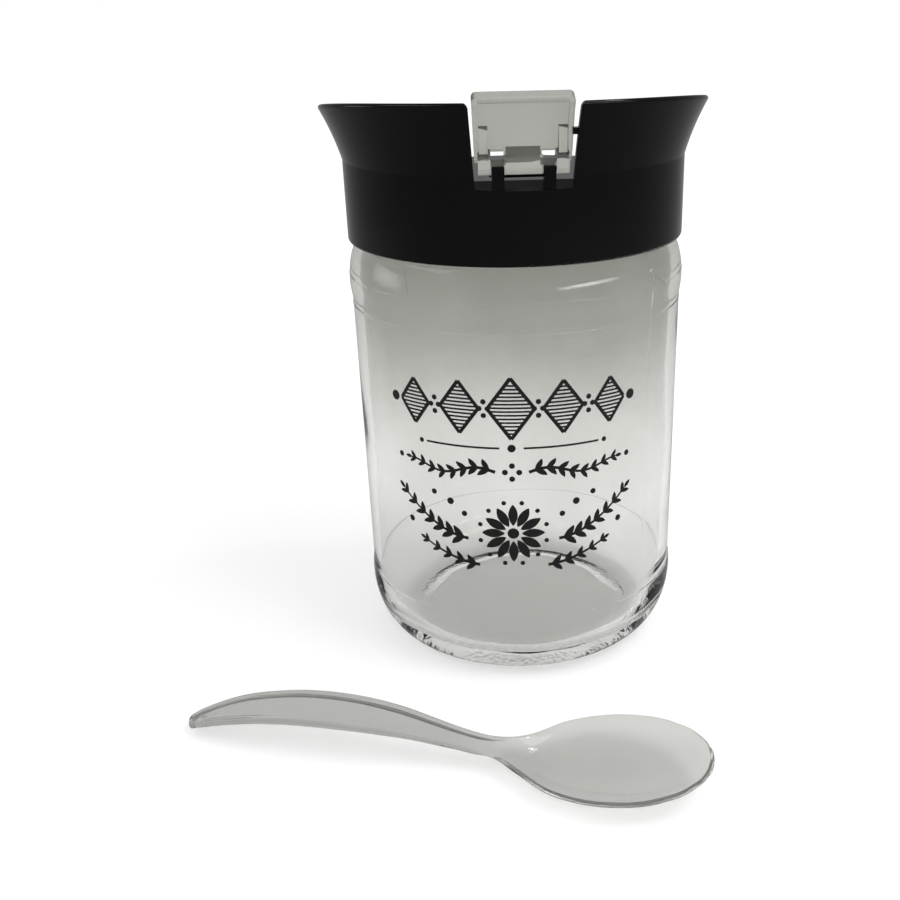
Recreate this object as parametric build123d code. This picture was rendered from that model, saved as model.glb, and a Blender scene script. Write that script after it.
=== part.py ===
from build123d import *
from math import acos, cos, degrees, radians, sin, sqrt
import os

# Sugar canister: clear glass jar, black screw lid with a snap-in pouring flap, and a clear spoon.
# Millimetres, +Z up. The origin is on the jar's axis at the surface it stands on.
# The hinge side of the lid faces -Y.

# Jar
JAR_HEIGHT = 133.0
FOOT_R_IN = 33.6
FOOT_R_OUT = 35.6
HEEL_R = 47.0
HEEL_HEIGHT = 18.4
PANEL_BOTTOM = (46.55, 22.0)
PANEL_TOP = (46.9, 105.2)
SHOULDER_R = 47.45
SHOULDER_Z = 109.5
SHOULDER_ARC = (5.85, 13.2)
NECK_R = 42.6
NECK_BEAD_R = 1.1
MOUTH_R = 39.6
LIP_ROUND = 1.0
BODY_BORE_R = 44.1
FLOOR_Z = 5.6
WELL = (33.4, 20.0)
SHOULDER_INSIDE = ((39.6, 123.6), (40.1, 121.9), (41.5, 119.4), (42.9, 116.3), (43.8, 112.8), (44.25, 109.3))

# Lid, heights counted from the skirt's lower edge
SKIRT_Z = 121.0
SKIRT_R = 47.0
SKIRT_BORE_R = 45.1
DECK_TOP = 15.0
DECK_BOTTOM = 13.0
CREASE_Z = 21.7
FLARE_MID = (50.7, 31.85)
FLARE_END = (56.46, 42.0)
COLLAR_WALL = 1.8
RIM_ROUND = 0.7
RIM_HEIGHT_FRONT = 39.4
RIM_HEIGHT_SIDE = 35.1
RIM_HEIGHT_BACK = 24.8
RIM_REACH = 60.0
PLUG_R_OUT = 39.2
PLUG_R_IN = 38.0
PLUG_DEPTH = 4.0

# Front notch of the collar, back opening, pouring block
NOTCH_HALF_BOTTOM = 11.85
NOTCH_HALF_TOP = 13.05
NOTCH_Z = 18.6
BACK_OPENING_HALF_ANGLE = 34.0
BLOCK_HALF_WIDTH = 13.0
BLOCK_TOP = 20.3
BLOCK_BACK_Y = -25.2
SLOT_SIZE = (16.0, 8.4)
SLOT_Y = -32.8

# Flap hinge
HINGE_Y = -43.7
HINGE_Z = 24.3
PIN_R = 1.30
SEAT_R = 1.35
KNUCKLE_R = 2.35
POST_X = 6.25
POST_WIDTH = 3.0
POST_LIP = 24.1
POST_HOOK = 25.5
POST_BACK = (-41.75, -41.6)
PLATE_NOTCH = 2.3

# Flap, in its closed position
FLAP_LENGTH = 16.4
FLAP_HALF_HINGE = 11.75
FLAP_HALF_END = 12.2
FLAP_CORNER = 1.2
PLATE_LOW = -3.85
PLATE_THICK = 1.6
FLANGE_HEIGHT = 1.6
FLANGE_WALL = 1.3
END_LIP_HEIGHT = 2.2
OPEN_ANGLE = 108.0

# Sealing ring
SEAL_R_IN = 39.9
SEAL_R_OUT = 42.9
SEAL_THICK = 1.0

# Spoon, along its own axis from the handle's tip
SPOON_TIP = (-95.0, -60.2)
SPOON_TURN = -16.2
SPOON_LENGTH = 141.4
BOWL_WIDEST = 119.0
BOWL_OUTLINE = ((88, 4.6), (94, 8.6), (101.8, 14.7), (110.7, 18.3), (119, 19.1), (130.5, 16.2), (137.2, 10.7))
BOWL_DEPTH = 6.9
BOWL_TILT = 5.5
BOWL_WALL = 1.5
HANDLE_OUTLINE = ((9, 5.4), (25, 7.2), (42, 7.5), (56, 6.6), (69, 4.9), (80, 3.9), (92, 3.9))
HANDLE_TOP = ((0, 3.0), (10, 7.4), (27, 11.4), (45, 12.4), (60, 11.2), (75, 8.3), (86, 6.4), (94, 5.6))
HANDLE_WALL = 1.3
HANDLE_THICK_TIP = 2.2
HANDLE_THICK_NECK = 3.3


def quarter_curve(centre, radii, start, end, count=7):
    """Smooth curve along part of an upright ellipse, between two angles in degrees."""
    angles = [radians(start + (end - start) * i / (count - 1)) for i in range(count)]
    points = [(centre[0] + radii[0] * cos(a), centre[1] + radii[1] * sin(a)) for a in angles]
    way = 1 if end > start else -1
    ends = [(-way * radii[0] * sin(a), way * radii[1] * cos(a)) for a in (angles[0], angles[-1])]
    return Spline(*points, tangents=ends)


def glass_jar():
    """Wall of the jar turned about its axis, from the foot ring up to the lip and back down inside."""
    with BuildSketch(Plane.XZ) as section:
        with BuildLine():
            Line((FOOT_R_IN, 0), (FOOT_R_OUT, 0))
            heel = quarter_curve((FOOT_R_OUT, HEEL_HEIGHT), (HEEL_R - FOOT_R_OUT, HEEL_HEIGHT), -90, 0)
            bead = Line(heel @ 1, (HEEL_R, HEEL_HEIGHT + 1.2))
            Spline(bead @ 1, PANEL_BOTTOM, tangents=((0, 1), (0, 1)))
            Line(PANEL_BOTTOM, PANEL_TOP)
            Spline(PANEL_TOP, (SHOULDER_R, SHOULDER_Z - 1.9), tangents=((0, 1), (0, 1)))
            Line((SHOULDER_R, SHOULDER_Z - 1.9), (SHOULDER_R, SHOULDER_Z))
            centre_r = SHOULDER_R - SHOULDER_ARC[0]
            sweep = degrees(acos((NECK_R - centre_r) / SHOULDER_ARC[0]))
            shoulder = quarter_curve((centre_r, SHOULDER_Z), SHOULDER_ARC, 0, sweep)
            bead_z = 125.1
            Line(shoulder @ 1, (NECK_R, bead_z - NECK_BEAD_R))
            ThreePointArc((NECK_R, bead_z - NECK_BEAD_R), (NECK_R + NECK_BEAD_R, bead_z),
                          (NECK_R, bead_z + NECK_BEAD_R))
            Line((NECK_R, bead_z + NECK_BEAD_R), (NECK_R, JAR_HEIGHT - LIP_ROUND))
            RadiusArc((NECK_R, JAR_HEIGHT - LIP_ROUND), (NECK_R - LIP_ROUND, JAR_HEIGHT), -LIP_ROUND)
            Line((NECK_R - LIP_ROUND, JAR_HEIGHT), (MOUTH_R + LIP_ROUND, JAR_HEIGHT))
            RadiusArc((MOUTH_R + LIP_ROUND, JAR_HEIGHT), (MOUTH_R, JAR_HEIGHT - LIP_ROUND), -LIP_ROUND)
            Line((MOUTH_R, JAR_HEIGHT - LIP_ROUND), SHOULDER_INSIDE[0])
            Spline(*SHOULDER_INSIDE, (BODY_BORE_R, 104.5), tangents=((0, -1), (0, -1)))
            Line((BODY_BORE_R, 104.5), (BODY_BORE_R, WELL[1]))
            well = quarter_curve(WELL, (BODY_BORE_R - WELL[0], WELL[1] - FLOOR_Z), 0, -90)
            floor = Spline(well @ 1, (17.0, FLOOR_Z + 1.3), (0, FLOOR_Z + 1.8), tangents=((-1, 0), (-1, 0)))
            Line(floor @ 1, (0, 4.0))
            punt = Spline((0, 4.0), (15.5, 3.5), (30.2, 1.9), tangents=((1, 0), (1, -0.25)))
            Spline(punt @ 1, (FOOT_R_IN, 0), tangents=(punt % 1, (0.5, -1)))
        make_face()
    return revolve(section.sketch, Axis.Z)


def lid_body():
    """Skirt, deck, plug ring and full flared collar turned about the axis."""
    with BuildSketch(Plane.XZ) as section:
        with BuildLine():
            Line((SKIRT_BORE_R + 0.4, 0), (SKIRT_R - 0.8, 0))
            RadiusArc((SKIRT_R - 0.8, 0), (SKIRT_R, 0.8), -0.8)
            Line((SKIRT_R, 0.8), (SKIRT_R, CREASE_Z))
            flare = ThreePointArc((SKIRT_R, CREASE_Z), FLARE_MID, FLARE_END)
            inner = [flare @ t + Vector(-(flare % t).Y, (flare % t).X) * COLLAR_WALL for t in (1, 0.5, 0)]
            Line(flare @ 1, inner[0])
            back = ThreePointArc(*inner)
            Line(back @ 1, (SKIRT_BORE_R, DECK_TOP + 1.5))
            RadiusArc((SKIRT_BORE_R, DECK_TOP + 1.5), (SKIRT_BORE_R - 1.5, DECK_TOP), 1.5)
            Polyline((SKIRT_BORE_R - 1.5, DECK_TOP), (0, DECK_TOP), (0, DECK_BOTTOM),
                     (PLUG_R_IN, DECK_BOTTOM), (PLUG_R_IN, DECK_BOTTOM - PLUG_DEPTH),
                     (PLUG_R_OUT - 0.5, DECK_BOTTOM - PLUG_DEPTH),
                     (PLUG_R_OUT, DECK_BOTTOM - PLUG_DEPTH + 1.0), (PLUG_R_OUT, DECK_BOTTOM),
                     (SKIRT_BORE_R, DECK_BOTTOM), (SKIRT_BORE_R, 0.4), (SKIRT_BORE_R + 0.4, 0))
        make_face()
    return revolve(section.sketch, Axis.Z)


def rim_cutter():
    """Space above the collar's rim, which falls from the hinge side to the back in one sweep."""
    with BuildSketch(Plane.YZ) as section:
        with BuildLine():
            rim = ThreePointArc((-RIM_REACH, RIM_HEIGHT_FRONT), (0, RIM_HEIGHT_SIDE),
                                (RIM_REACH, RIM_HEIGHT_BACK))
            Polyline(rim @ 1, (RIM_REACH, 60), (-RIM_REACH, 60), rim @ 0)
        make_face()
    return extrude(section.sketch, 70, both=True)


def notch_cutter():
    """Front notch: a slightly opening trapezium whose upper corners roll over into the rim."""
    with BuildSketch(Plane.XZ) as section:
        with BuildLine():
            for side in (-1, 1):
                Line((side * NOTCH_HALF_BOTTOM, NOTCH_Z), (side * NOTCH_HALF_TOP, 37.6))
                ThreePointArc((side * NOTCH_HALF_TOP, 37.6), (side * 13.5, 38.75), (side * 14.7, 39.2))
                Line((side * 14.7, 39.2), (side * 14.7, 50))
            Line((-NOTCH_HALF_BOTTOM, NOTCH_Z), (NOTCH_HALF_BOTTOM, NOTCH_Z))
            Line((-14.7, 50), (14.7, 50))
        make_face()
    return Pos(0, -40, 0) * extrude(section.sketch, 30)


def back_opening_cutter():
    """Wide opening at the back, down to the deck, so that only two wings of the collar are left."""
    reach = 80.0
    half = radians(BACK_OPENING_HALF_ANGLE)
    corner = (reach * sin(half), reach * cos(half))
    wedge = make_face(Polyline((0, 0), corner, (-corner[0], corner[1]), (0, 0)))
    return Pos(0, 0, DECK_TOP) * extrude(wedge, 40)


def round_wings(body):
    """Rounds the rims and the back ends of the two wings."""
    rims = [e for e in body.edges() if e.length > 90 and e.bounding_box().max.Z > 39]
    ends = [e for e in body.edges() if e.bounding_box().min.Y > 36 and 6.8 < e.length < 8]
    return fillet(rims + ends, RIM_ROUND)


def pouring_block():
    """Raised block under the flap, with its sloping front ledge, trimmed to the skirt's circle."""
    side = make_face(Plane.YZ * Polyline((-48, DECK_BOTTOM + 0.5), (-48, NOTCH_Z), (-46.4, NOTCH_Z),
                                         (-41.4, BLOCK_TOP), (BLOCK_BACK_Y, BLOCK_TOP),
                                         (BLOCK_BACK_Y, DECK_BOTTOM + 0.5), (-48, DECK_BOTTOM + 0.5)))
    block = extrude(side, BLOCK_HALF_WIDTH, both=True)
    block = fillet(block.edges().filter_by(Axis.Z).sort_by(Axis.Y)[-2:], 2.5)
    return block & Cylinder(SKIRT_R - 0.02, 60)


def hinge_post(x):
    """Upright with an open snap seat: low lip in front of the pin, hook behind and over it."""
    outline = make_face(Plane.YZ * Polyline((-46.3, 17), (-46.3, POST_LIP), (HINGE_Y, POST_LIP),
                                            (HINGE_Y, POST_HOOK), (POST_BACK[0], POST_HOOK),
                                            (POST_BACK[1], 17), (-46.3, 17)))
    post = extrude(outline, POST_WIDTH / 2, both=True)
    post = fillet(post.edges().filter_by(Axis.X).group_by(Axis.Z)[1][0:1], 0.3)
    post = post - Pos(0, HINGE_Y, HINGE_Z) * Rot(0, 90, 0) * Cylinder(SEAT_R, POST_WIDTH + 2)
    return Pos(x, 0, 0) * post


def stop_nub():
    """Small tab on one wing that the open flap's edge comes to rest against."""
    return Pos(12.35, -47.35, 32.2) * Box(1.9, 2.6, 1.5)


def screw_lid():
    """The black moulding, with everything that belongs to it."""
    body = lid_body() - rim_cutter() - notch_cutter() - back_opening_cutter()
    body = round_wings(body) + pouring_block() + hinge_post(-POST_X) + hinge_post(POST_X) + stop_nub()
    slot = Pos(0, SLOT_Y, 0) * extrude(RectangleRounded(*SLOT_SIZE, 2.0), 40)
    return Pos(0, 0, SKIRT_Z) * (body - slot)


def flap_profile(points, half_width, x=0.0):
    """Solid of one closed outline, given along the flap and above the hinge axis, as wide as asked."""
    face = make_face(Plane.YZ * Polyline(*points, points[0]))
    return Pos(x, 0, 0) * extrude(face, half_width, both=True)


def flap_plate():
    """Tray of the flap: plate, side flanges and the taller end lip."""
    plan = Polyline((-FLAP_HALF_HINGE, 0), (FLAP_HALF_HINGE, 0), (FLAP_HALF_END, FLAP_LENGTH),
                    (-FLAP_HALF_END, FLAP_LENGTH), (-FLAP_HALF_HINGE, 0))
    outline = make_face(plan)
    outline = fillet(outline.vertices().sort_by(Axis.Y)[-2:], FLAP_CORNER)
    full = extrude(outline, PLATE_THICK + END_LIP_HEIGHT)
    hollow = make_face(Polyline((-FLAP_HALF_HINGE + FLANGE_WALL, -1), (FLAP_HALF_HINGE - FLANGE_WALL, -1),
                                (FLAP_HALF_END - FLANGE_WALL, FLAP_LENGTH - FLANGE_WALL),
                                (-FLAP_HALF_END + FLANGE_WALL, FLAP_LENGTH - FLANGE_WALL),
                                (-FLAP_HALF_HINGE + FLANGE_WALL, -1)))
    hollow = fillet(hollow.vertices().sort_by(Axis.Y)[-2:], 0.6)
    tray = full - Pos(0, 0, PLATE_THICK) * extrude(hollow, 5)
    side_top = make_face(Plane.YZ * Polyline((-1, PLATE_THICK + 0.6), (2.5, PLATE_THICK + FLANGE_HEIGHT),
                                             (FLAP_LENGTH - 3.0, PLATE_THICK + FLANGE_HEIGHT),
                                             (FLAP_LENGTH - 1.6, PLATE_THICK + END_LIP_HEIGHT),
                                             (FLAP_LENGTH - 1.6, 8), (-1, 8), (-1, PLATE_THICK + 0.6)))
    tray = tray - extrude(side_top, 20, both=True)
    return Pos(0, 0, PLATE_LOW) * tray


def pour_flap():
    """Clear flap with its knuckles, gussets and pins, turned from closed to fully open."""
    top = PLATE_LOW + PLATE_THICK
    flap = flap_plate()
    for side in (-1, 1):
        notch = Box(POST_WIDTH + 0.3, PLATE_NOTCH + 0.1, 6)
        flap = flap - Pos(side * POST_X, PLATE_NOTCH / 2 - 0.05, PLATE_LOW) * notch
        knuckle = Pos(side * 9.45, 0, 0) * Rot(0, 90, 0) * Cylinder(KNUCKLE_R, 3.1)
        root = [(-1.2, -2.0), (-0.2, PLATE_LOW), (3.0, PLATE_LOW), (3.0, 0.2), (0, 2.2)]
        rib = [(0, 2.3), (2.4, 1.0), (7.6, -0.9), (8.6, -1.5), (8.9, top - 0.4), (0, top - 0.4)]
        flap = flap + knuckle + flap_profile(root, 1.55, side * 9.45) + flap_profile(rib, 1.1, side * 9.55)
    barrel = Rot(0, 90, 0) * Cylinder(KNUCKLE_R, 9.3)
    with BuildSketch(Plane.YZ) as ramp_section:
        with BuildLine():
            ramp = ThreePointArc((1.3, 1.95), (2.9, -0.9), (6.8, top))
            Polyline(ramp @ 1, (6.8, PLATE_LOW + 0.3), (-0.2, PLATE_LOW), (-1.2, -2.0), (0, 0), ramp @ 0)
        make_face()
    flap = flap + barrel + extrude(ramp_section.sketch, 4.2, both=True)
    flap = flap + Rot(0, 90, 0) * Cylinder(PIN_R, 20.0)
    return Pos(0, HINGE_Y, SKIRT_Z + HINGE_Z) * Rot(OPEN_ANGLE, 0, 0) * flap


def sealing_ring():
    """Flat ring between the jar's lip and the underside of the deck."""
    ring = Cylinder(SEAL_R_OUT, SEAL_THICK) - Cylinder(SEAL_R_IN, SEAL_THICK)
    return Pos(0, 0, JAR_HEIGHT + SEAL_THICK / 2) * ring


def drop_outline(size, inset):
    """Closed drop-shaped outline of the bowl about its widest section, pointed towards the neck."""
    side = [((s - BOWL_WIDEST) * size, (w - inset) * size) for s, w in BOWL_OUTLINE]
    nose = ((SPOON_LENGTH - BOWL_WIDEST - inset) * size, 0)
    with BuildSketch() as drop:
        with BuildLine():
            Spline(*side, nose, tangents=((1, 0.45), (0, -1)))
            Spline(*[(s, -w) for s, w in side], nose, tangents=((1, -0.45), (0, 1)))
            Line(side[0], (side[0][0], -side[0][1]))
        make_face()
    return drop.sketch


def spoon_bowl(inset):
    """Belly of the bowl below its rim plane, lofted through level sections that shrink as on a ball."""
    sections = []
    for fall in (0, 0.3, 0.6, 0.82, 0.95, 1.0):
        size = sqrt(1 - (0.985 * fall) ** 2)
        sections.append(Pos(0, 0, -(BOWL_DEPTH - inset) * fall) * drop_outline(size, inset))
    return loft(sections)


def handle_plan(inset):
    """Leaf-shaped outline of the handle seen from above, running on into the bowl's rim."""
    upper = [(s, w - inset) for s, w in HANDLE_OUTLINE]
    start = (inset, 0)
    with BuildSketch() as plan:
        with BuildLine():
            Spline(start, *upper, tangents=((0, 1), (1, 0)))
            Spline(start, *[(s, -w) for s, w in upper], tangents=((0, -1), (1, 0)))
            Line(upper[-1], (upper[-1][0], -upper[-1][1]))
        make_face()
    return extrude(plan.sketch, 40)


def handle_side(drop):
    """Arched side view of the handle, thicker towards the neck, its top lowered by the given amount."""
    growth = (HANDLE_THICK_NECK - HANDLE_THICK_TIP) / HANDLE_TOP[-1][0]
    with BuildSketch(Plane.XZ) as side:
        with BuildLine():
            upper = Spline(*[(s, z - drop) for s, z in HANDLE_TOP])
            lower = Spline(*[(s, z - drop - HANDLE_THICK_TIP - growth * s) for s, z in HANDLE_TOP])
            Line(upper @ 0, lower @ 0)
            Line(upper @ 1, lower @ 1)
        make_face()
    return extrude(side.sketch, 20, both=True)


def serving_spoon():
    """Clear spoon lying flat: drop-shaped hollow bowl, arched handle with a channel under it."""
    seat = Pos(BOWL_WIDEST, 0, 0) * Rot(0, -BOWL_TILT, 0)
    outside = seat * spoon_bowl(0)
    inside = seat * spoon_bowl(BOWL_WALL)
    rest = Pos(0, 0, -outside.bounding_box().min.Z)
    handle = handle_plan(0) & handle_side(0)
    channel = handle_plan(HANDLE_WALL) & handle_side(HANDLE_WALL)
    keep_solid = Pos(94, 0, 0) * Box(30, 40, 60)
    spoon = rest * (outside - inside) + (handle - (channel - keep_solid) - rest * inside)
    return Pos(SPOON_TIP[0], SPOON_TIP[1], 0) * Rot(0, 0, SPOON_TURN) * spoon


NODES = {
    "glass_jar": glass_jar,
    "screw_lid": screw_lid,
    "sealing_ring": sealing_ring,
    "pour_flap": pour_flap,
    "serving_spoon": serving_spoon,
}

os.makedirs("parts", exist_ok=True)
for name, make in NODES.items():
    solid = make()
    print(name, len(solid.solids()), "solid", round(solid.volume / 1000, 2), "cm3")
    export_step(solid, f"parts/{name}.step")
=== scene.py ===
"""Looks of the sugar canister: clear jar with a printed ornament, black screw lid, clear flap, clear spoon.

Lengths in the dataclasses are millimetres; meshes are written in metres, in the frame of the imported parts.
"""

import logging
import math
from dataclasses import dataclass
from enum import Enum
from typing import Optional, Sequence

import bmesh
import bpy
import numpy as np
from mathutils import Matrix, Vector


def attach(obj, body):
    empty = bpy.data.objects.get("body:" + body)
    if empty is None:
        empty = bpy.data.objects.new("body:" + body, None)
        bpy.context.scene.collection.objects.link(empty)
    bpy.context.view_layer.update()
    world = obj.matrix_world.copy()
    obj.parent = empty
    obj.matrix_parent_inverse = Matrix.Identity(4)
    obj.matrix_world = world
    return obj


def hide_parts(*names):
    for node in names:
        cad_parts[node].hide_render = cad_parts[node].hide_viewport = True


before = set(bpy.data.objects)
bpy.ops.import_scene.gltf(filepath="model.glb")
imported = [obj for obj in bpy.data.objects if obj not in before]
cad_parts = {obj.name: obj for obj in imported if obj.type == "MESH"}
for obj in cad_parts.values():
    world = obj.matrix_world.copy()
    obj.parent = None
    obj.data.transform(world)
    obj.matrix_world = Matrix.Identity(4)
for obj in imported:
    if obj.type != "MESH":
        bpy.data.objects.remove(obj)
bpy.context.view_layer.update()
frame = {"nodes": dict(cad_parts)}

logging.basicConfig(level=logging.INFO, format="%(message)s")
LOG = logging.getLogger("canister")
MM = 0.001
ACROSS = (1.0, 0.0, 0.0)
UP = (0.0, 0.0, 1.0)
Pair = tuple[float, float]
Triple = tuple[float, float, float]
Wave = tuple[float, float, float, float]
Socket = bpy.types.NodeSocket
Piece = bpy.types.Object


class Slot(Enum):
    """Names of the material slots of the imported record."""

    GLASS = "glass"
    BLACK_PLASTIC = "black_plastic"
    CLEAR_PLASTIC = "clear_plastic"


# Curves and meshes


def line(start: Sequence[float], end: Sequence[float], count: int) -> np.ndarray:
    """Evenly spaced points on a straight line, start + t (end - start).

    Args:
        start: First point.
        end: Last point.
        count: Number of points.

    Returns:
        Array of shape (count, dimensions).
    """
    t = np.linspace(0.0, 1.0, count)[:, None]
    return np.asarray(start, float) * (1 - t) + np.asarray(end, float) * t


def ellipse_arc(centre: Sequence[float], radii: Sequence[float], start: float, end: float,
                count: int) -> np.ndarray:
    """Part of an upright ellipse: centre + (a cos angle, b sin angle).

    Args:
        centre: Centre of the ellipse.
        radii: Its half axes a and b.
        start: First angle in degrees.
        end: Last angle in degrees.
        count: Number of points.

    Returns:
        Array of shape (count, 2).
    """
    angle = np.radians(np.linspace(start, end, count))
    return np.stack([centre[0] + radii[0] * np.cos(angle), centre[1] + radii[1] * np.sin(angle)], axis=1)


def cubic(t: np.ndarray, start: np.ndarray, leave: np.ndarray, end: np.ndarray,
          arrive: np.ndarray) -> np.ndarray:
    """Cubic Hermite curve with a given direction at each end.

    The value is (2t^3 - 3t^2 + 1) start + (t^3 - 2t^2 + t) leave + (3t^2 - 2t^3) end + (t^3 - t^2) arrive.

    Args:
        t: Positions between 0 and 1.
        start: Value at 0.
        leave: Slope at 0.
        end: Value at 1.
        arrive: Slope at 1.

    Returns:
        The values at t.
    """
    return ((2 * t**3 - 3 * t**2 + 1) * start + (t**3 - 2 * t**2 + t) * leave
            + (3 * t**2 - 2 * t**3) * end + (t**3 - t**2) * arrive)


def hermite(start: Sequence[float], end: Sequence[float], leave: Sequence[float], arrive: Sequence[float],
            count: int) -> np.ndarray:
    """Points on one cubic between two points.

    Args:
        start: First point.
        end: Last point.
        leave: Tangent at the first point.
        arrive: Tangent at the last point.
        count: Number of points.

    Returns:
        Array of shape (count, dimensions).
    """
    t = np.linspace(0.0, 1.0, count)[:, None]
    return cubic(t, *(np.asarray(v, float) for v in (start, leave, end, arrive)))


def through(stations: Sequence[Sequence[float]], where: np.ndarray) -> np.ndarray:
    """Smooth function through (position, value) stations, a cubic between each two of them.

    The slope at a station is the mean slope of its two neighbours, so the curve has no kink.

    Args:
        stations: Pairs of position and value, positions rising.
        where: Positions at which the value is wanted.

    Returns:
        Array shaped like where.
    """
    x, y = np.asarray(stations, float).T
    slope = np.gradient(y, x)
    k = np.clip(np.searchsorted(x, where, side="right") - 1, 0, len(x) - 2)
    step = x[k + 1] - x[k]
    t = np.clip((where - x[k]) / step, 0.0, 1.0)
    return cubic(t, y[k], step * slope[k], y[k + 1], step * slope[k + 1])


def smooth_step(low: float, high: float, value: np.ndarray) -> np.ndarray:
    """Zero below low, one above high, and 3t^2 - 2t^3 between them."""
    t = np.clip((value - low) / (high - low), 0.0, 1.0)
    return t * t * (3 - 2 * t)


def joined(parts: Sequence[np.ndarray]) -> np.ndarray:
    """One path out of several, without points that lie within 0.01 mm of the one before.

    Args:
        parts: Arrays of points, one after the other.

    Returns:
        Array of all points that are kept.
    """
    path = np.concatenate(parts)
    far = np.linalg.norm(np.diff(path, axis=0), axis=1) > 0.01
    return path[np.concatenate([[True], far])]


def enclosed_volume(points: np.ndarray, faces: Sequence[np.ndarray]) -> float:
    """Signed volume of closed faces: the sum of a . (b x c) / 6 over their triangles.

    Args:
        points: Array (n, 3).
        faces: Arrays of corner numbers, each of shape (faces, corners).

    Returns:
        The volume, negative where the faces point inwards.
    """
    total = 0.0
    for face in faces:
        for k in range(1, face.shape[1] - 1):
            a, b, c = points[face[:, 0]], points[face[:, k]], points[face[:, k + 1]]
            total += float(np.einsum("ij,ij->", a, np.cross(b, c))) / 6
    return total


def add_object(name: str, points: np.ndarray, faces: Sequence[np.ndarray]) -> Piece:
    """Puts whole arrays of points and face corners into a new smooth-shaded mesh object.

    Faces of a closed form that point inwards, where its volume is negative, are all turned round.

    Args:
        name: Name of the piece.
        points: Array (n, 3) in millimetres.
        faces: Arrays of corner numbers, each of shape (faces, corners).

    Returns:
        The new object, at the origin.
    """
    if enclosed_volume(points, faces) < 0:
        faces = [f[:, ::-1] for f in faces]
    mesh = bpy.data.meshes.new(name)
    corners = np.concatenate([f.ravel() for f in faces]).astype(np.int32)
    sizes = np.concatenate([np.full(len(f), f.shape[1]) for f in faces])
    starts = np.concatenate([[0], np.cumsum(sizes)[:-1]]).astype(np.int32)
    mesh.vertices.add(len(points))
    mesh.vertices.foreach_set("co", (points * MM).astype(np.float32).ravel())
    mesh.loops.add(len(corners))
    mesh.loops.foreach_set("vertex_index", corners)
    mesh.polygons.add(len(sizes))
    mesh.polygons.foreach_set("loop_start", starts)
    mesh.update(calc_edges=True)
    mesh.validate()
    mesh.polygons.foreach_set("use_smooth", np.ones(len(mesh.polygons), bool))
    piece = bpy.data.objects.new(name, mesh)
    bpy.context.scene.collection.objects.link(piece)
    return piece


def grid_faces(rows: int, columns: int) -> np.ndarray:
    """Corner numbers of the quads of a grid of points whose rows are closed rings.

    Args:
        rows: Number of rings.
        columns: Points in each ring.

    Returns:
        Array (quads, 4); a face's normal is the column direction crossed with the row direction.
    """
    row = np.arange(rows - 1)[:, None] * columns
    here = np.arange(columns)[None, :]
    after = (here + 1) % columns
    quads = np.stack([row + here, row + after, row + columns + after, row + columns + here], axis=-1)
    return quads.reshape(-1, 4)


def fan_faces(pole: int, ring: np.ndarray, flip: bool) -> np.ndarray:
    """Triangles from one pole point to a closed ring of points.

    Args:
        pole: Number of the pole point.
        ring: Numbers of the ring's points in order.
        flip: Whether the triangles turn the other way round.

    Returns:
        Array (triangles, 3).
    """
    nxt = np.roll(ring, -1)
    first, second = (nxt, ring) if flip else (ring, nxt)
    return np.stack([np.full(len(ring), pole), first, second], axis=1)


def poled_faces(rows: int, columns: int) -> list[np.ndarray]:
    """Faces of a closed form: a grid of rings, then a pole point before its first and after its last ring.

    Args:
        rows: Number of rings.
        columns: Points in each ring.

    Returns:
        The quads between the rings and the triangles round both poles, whose points come last.
    """
    ring = np.arange(columns)
    low = rows * columns
    return [grid_faces(rows, columns), fan_faces(low, ring, True),
            fan_faces(low + 1, ring + (rows - 1) * columns, False)]


def turned_surface(name: str, profile: np.ndarray, angles: np.ndarray, relief: np.ndarray) -> Piece:
    """Closed surface of revolution about Z, with its two axis points as poles.

    The point of row k and column j is (r sin a, -r cos a, z), where r is the profile's radius plus the
    relief of that point, and a is the angle from the hinge side towards +X.

    Args:
        name: Name of the piece.
        profile: Array (rows, 2) of radius and height, from the lower axis point round to the upper one.
        angles: Array (columns,) of angles in degrees, rising.
        relief: Array (rows, columns) that is added to the radius.

    Returns:
        The new object.
    """
    body = profile[1:-1]
    radius = body[:, 0:1] + relief[1:-1]
    a = np.radians(angles)[None, :]
    height = np.broadcast_to(body[:, 1:2], radius.shape)
    grid = np.stack([radius * np.sin(a), -radius * np.cos(a), height], axis=-1)
    poles = np.array([[0, 0, profile[0, 1]], [0, 0, profile[-1, 1]]])
    return add_object(name, np.concatenate([grid.reshape(-1, 3), poles]), poled_faces(*grid.shape[:2]))


def add_strips(name: str, strips: Sequence[np.ndarray]) -> Piece:
    """One object out of many closed strips, each with one face at both ends.

    Args:
        name: Name of the piece.
        strips: For each strip its row of closed sections, an array (stations, corners, 3).

    Returns:
        The new object.
    """
    points, faces, count = [], [], 0
    for sections in strips:
        stations, corners = sections.shape[:2]
        first = np.arange(corners)[None, ::-1]
        last = np.arange(corners)[None, :] + (stations - 1) * corners
        points.append(sections.reshape(-1, 3))
        faces += [part + count for part in (grid_faces(stations, corners), first, last)]
        count += stations * corners
    return add_object(name, np.concatenate(points), faces)


# Node trees and finishes


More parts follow.
